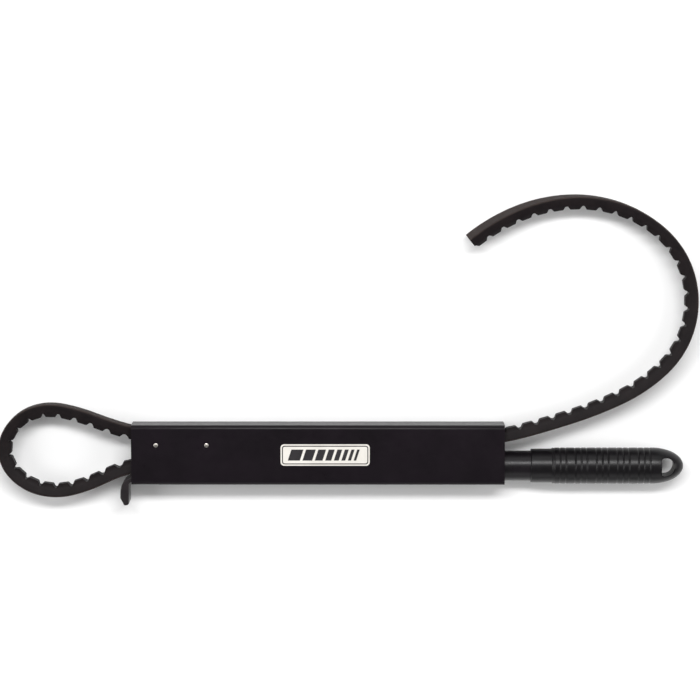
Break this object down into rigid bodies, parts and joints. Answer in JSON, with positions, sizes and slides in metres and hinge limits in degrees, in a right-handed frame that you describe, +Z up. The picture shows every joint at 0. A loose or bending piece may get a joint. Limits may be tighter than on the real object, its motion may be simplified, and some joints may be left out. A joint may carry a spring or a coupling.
{
  "type": "oil filter wrench",
  "caption": "Belt-type oil filter wrench: a notched rubber V-belt loops out of a long steel box housing, held by a sprung clamp lever, with a round handle tube and ribbed grip.",
  "frame": {"origin": "centre of the housing's flat rest face, on the surface the tool lies on", "axes": "+X along the handle toward the grip, +Y across the housing toward the side that the belt's tail leaves from, +Z up from the rest face"},
  "size_m": [0.5814, 0.2577, 0.0306],
  "materials": {
    "housing_paint": "black semi-gloss powder coat on pressed steel",
    "tube_paint": "satin black paint on steel tube",
    "lever_paint": "satin black paint on steel",
    "block_steel": "plain sintered steel",
    "rivet_steel": "bright peened rivet ends",
    "spring_steel": "bright spring wire",
    "grip_rubber": "ribbed black moulded rubber, slight sheen",
    "belt_rubber": "black cogged belt rubber with a woven back",
    "label": "off-white printed label plate with a plain bar pattern"
  },
  "bodies": {
    "frame": {"housing": "housing_paint", "anchor_block": "block_steel", "rivet_pivot": "rivet_steel", "rivet_rear": "rivet_steel", "spring_front": "spring_steel", "spring_rear": "spring_steel", "handle_tube": "tube_paint", "tube_weld": "tube_paint", "grip": "grip_rubber", "label_plate": "label", "belt_anchor_end": "belt_rubber"},
    "clamp_lever": {"clamp_lever": "lever_paint"},
    "belt": {"belt_run": "belt_rubber", "belt_tail_1": "belt_rubber", "belt_tail_2": "belt_rubber"},
    "loop_link_10": {"belt_loop_10": "belt_rubber"},
    "loop_link_9": {"belt_loop_9": "belt_rubber"},
    "loop_link_8": {"belt_loop_8": "belt_rubber"},
    "loop_link_7": {"belt_loop_7": "belt_rubber"},
    "loop_link_6": {"belt_loop_6": "belt_rubber"},
    "loop_link_5": {"belt_loop_5": "belt_rubber"},
    "loop_link_4": {"belt_loop_4": "belt_rubber"},
    "loop_link_3": {"belt_loop_3": "belt_rubber"},
    "loop_link_2": {"belt_loop_2": "belt_rubber"},
    "loop_link_1": {"belt_loop_1": "belt_rubber"},
    "tail_link_3": {"belt_tail_3": "belt_rubber"},
    "tail_link_4": {"belt_tail_4": "belt_rubber"},
    "tail_link_5": {"belt_tail_5": "belt_rubber"},
    "tail_link_6": {"belt_tail_6": "belt_rubber"},
    "tail_link_7": {"belt_tail_7": "belt_rubber"},
    "tail_link_8": {"belt_tail_8": "belt_rubber"},
    "tail_link_9": {"belt_tail_9": "belt_rubber"},
    "tail_link_10": {"belt_tail_10": "belt_rubber"},
    "tail_link_11": {"belt_tail_11": "belt_rubber"}
  },
  "joints": [
    {"name": "clamp_hinge", "type": "hinge", "parent": "frame", "child": "clamp_lever", "pos_m": [-0.1345, 0.0084, 0.015], "axis": [0, 0, 1], "range_deg": [0, 12], "stiffness_Nm_per_rad": 0.15, "springref_deg": -28.65},
    {"name": "belt_pull", "type": "slide", "parent": "frame", "child": "belt", "axis": [0.9966, 0.0819, 0], "range_m": [-0.005, 0.018]},
    {"name": "loop_bend_10", "type": "hinge", "parent": "belt", "child": "loop_link_10", "pos_m": [-0.14914, -0.01222, 0.015], "axis": [0, 0, 1], "range_deg": [-10.3, 3.2]},
    {"name": "loop_bend_9", "type": "hinge", "parent": "loop_link_10", "child": "loop_link_9", "pos_m": [-0.16333, -0.01528, 0.015], "axis": [0, 0, 1], "range_deg": [-6.7, 2.2]},
    {"name": "loop_bend_8", "type": "hinge", "parent": "loop_link_9", "child": "loop_link_8", "pos_m": [-0.17671, -0.02098, 0.015], "axis": [0, 0, 1], "range_deg": [-1.1, 2.7]},
    {"name": "loop_bend_7", "type": "hinge", "parent": "loop_link_8", "child": "loop_link_7", "pos_m": [-0.20391, -0.03117, 0.015], "axis": [0, 0, 1], "range_deg": [-3.6, 11.6]},
    {"name": "loop_bend_6", "type": "hinge", "parent": "loop_link_7", "child": "loop_link_6", "pos_m": [-0.23267, -0.03097, 0.015], "axis": [0, 0, 1], "range_deg": [-3.5, 11.1]},
    {"name": "loop_bend_5", "type": "hinge", "parent": "loop_link_6", "child": "loop_link_5", "pos_m": [-0.25652, -0.01515, 0.015], "axis": [0, 0, 1], "range_deg": [-1.8, 5.1]},
    {"name": "loop_bend_4", "type": "hinge", "parent": "loop_link_5", "child": "loop_link_4", "pos_m": [-0.26155, 0.01234, 0.015], "axis": [0, 0, 1], "range_deg": [-4.8, 1.7]},
    {"name": "loop_bend_3", "type": "hinge", "parent": "loop_link_4", "child": "loop_link_3", "pos_m": [-0.24323, 0.03398, 0.015], "axis": [0, 0, 1], "range_deg": [-17.4, 5.2]},
    {"name": "loop_bend_2", "type": "hinge", "parent": "loop_link_3", "child": "loop_link_2", "pos_m": [-0.21495, 0.03821, 0.015], "axis": [0, 0, 1], "range_deg": [-10.8, 3.4]},
    {"name": "loop_bend_1", "type": "hinge", "parent": "loop_link_2", "child": "loop_link_1", "pos_m": [-0.18698, 0.03035, 0.015], "axis": [0, 0, 1], "range_deg": [-5.7, 19.3]},
    {"name": "tail_bend_3", "type": "hinge", "parent": "belt", "child": "tail_link_3", "pos_m": [0.21137, 0.02893, 0.015], "axis": [0, 0, 1], "range_deg": [-3.4, 1.1]},
    {"name": "tail_bend_4", "type": "hinge", "parent": "tail_link_3", "child": "tail_link_4", "pos_m": [0.25193, 0.04499, 0.015], "axis": [0, 0, 1], "range_deg": [-7.7, 2.1]},
    {"name": "tail_bend_5", "type": "hinge", "parent": "tail_link_4", "child": "tail_link_5", "pos_m": [0.28786, 0.06946, 0.015], "axis": [0, 0, 1], "range_deg": [-14.5, 3.6]},
    {"name": "tail_bend_6", "type": "hinge", "parent": "tail_link_5", "child": "tail_link_6", "pos_m": [0.30986, 0.1065, 0.015], "axis": [0, 0, 1], "range_deg": [-18.3, 4.5]},
    {"name": "tail_flex", "type": "hinge", "parent": "tail_link_6", "child": "tail_link_7", "pos_m": [0.30918, 0.14961, 0.015], "axis": [0, 0, 1], "range_deg": [-18, 4], "stiffness_Nm_per_rad": 0.05},
    {"name": "tail_bend_8", "type": "hinge", "parent": "tail_link_7", "child": "tail_link_8", "pos_m": [0.28597, 0.1859, 0.015], "axis": [0, 0, 1], "range_deg": [-16.3, 4]},
    {"name": "tail_bend_9", "type": "hinge", "parent": "tail_link_8", "child": "tail_link_9", "pos_m": [0.24818, 0.20711, 0.015], "axis": [0, 0, 1], "range_deg": [-13.5, 3.4]},
    {"name": "tail_bend_10", "type": "hinge", "parent": "tail_link_9", "child": "tail_link_10", "pos_m": [0.20506, 0.21175, 0.015], "axis": [0, 0, 1], "range_deg": [-12, 3.1]},
    {"name": "tail_bend_11", "type": "hinge", "parent": "tail_link_10", "child": "tail_link_11", "pos_m": [0.16296, 0.20098, 0.015], "axis": [0, 0, 1], "range_deg": [-10, 2.6]}
  ],
  "couplings": [
    {"joint": "loop_bend_10", "follows": "belt_pull", "rad_per_m": -9.5},
    {"joint": "loop_bend_9", "follows": "belt_pull", "rad_per_m": -6},
    {"joint": "loop_bend_8", "follows": "belt_pull", "rad_per_m": 2.1},
    {"joint": "loop_bend_7", "follows": "belt_pull", "rad_per_m": 10.8},
    {"joint": "loop_bend_6", "follows": "belt_pull", "rad_per_m": 10.3},
    {"joint": "loop_bend_5", "follows": "belt_pull", "rad_per_m": 4.5},
    {"joint": "loop_bend_4", "follows": "belt_pull", "rad_per_m": -4.2},
    {"joint": "loop_bend_3", "follows": "belt_pull", "rad_per_m": -16.4},
    {"joint": "loop_bend_2", "follows": "belt_pull", "rad_per_m": -10},
    {"joint": "loop_bend_1", "follows": "belt_pull", "rad_per_m": 18.2},
    {"joint": "tail_bend_3", "follows": "tail_flex", "ratio": 0.16},
    {"joint": "tail_bend_4", "follows": "tail_flex", "ratio": 0.4},
    {"joint": "tail_bend_5", "follows": "tail_flex", "ratio": 0.78},
    {"joint": "tail_bend_6", "follows": "tail_flex", "ratio": 0.99},
    {"joint": "tail_bend_8", "follows": "tail_flex", "ratio": 0.88},
    {"joint": "tail_bend_9", "follows": "tail_flex", "ratio": 0.72},
    {"joint": "tail_bend_10", "follows": "tail_flex", "ratio": 0.64},
    {"joint": "tail_bend_11", "follows": "tail_flex", "ratio": 0.53}
  ]
}
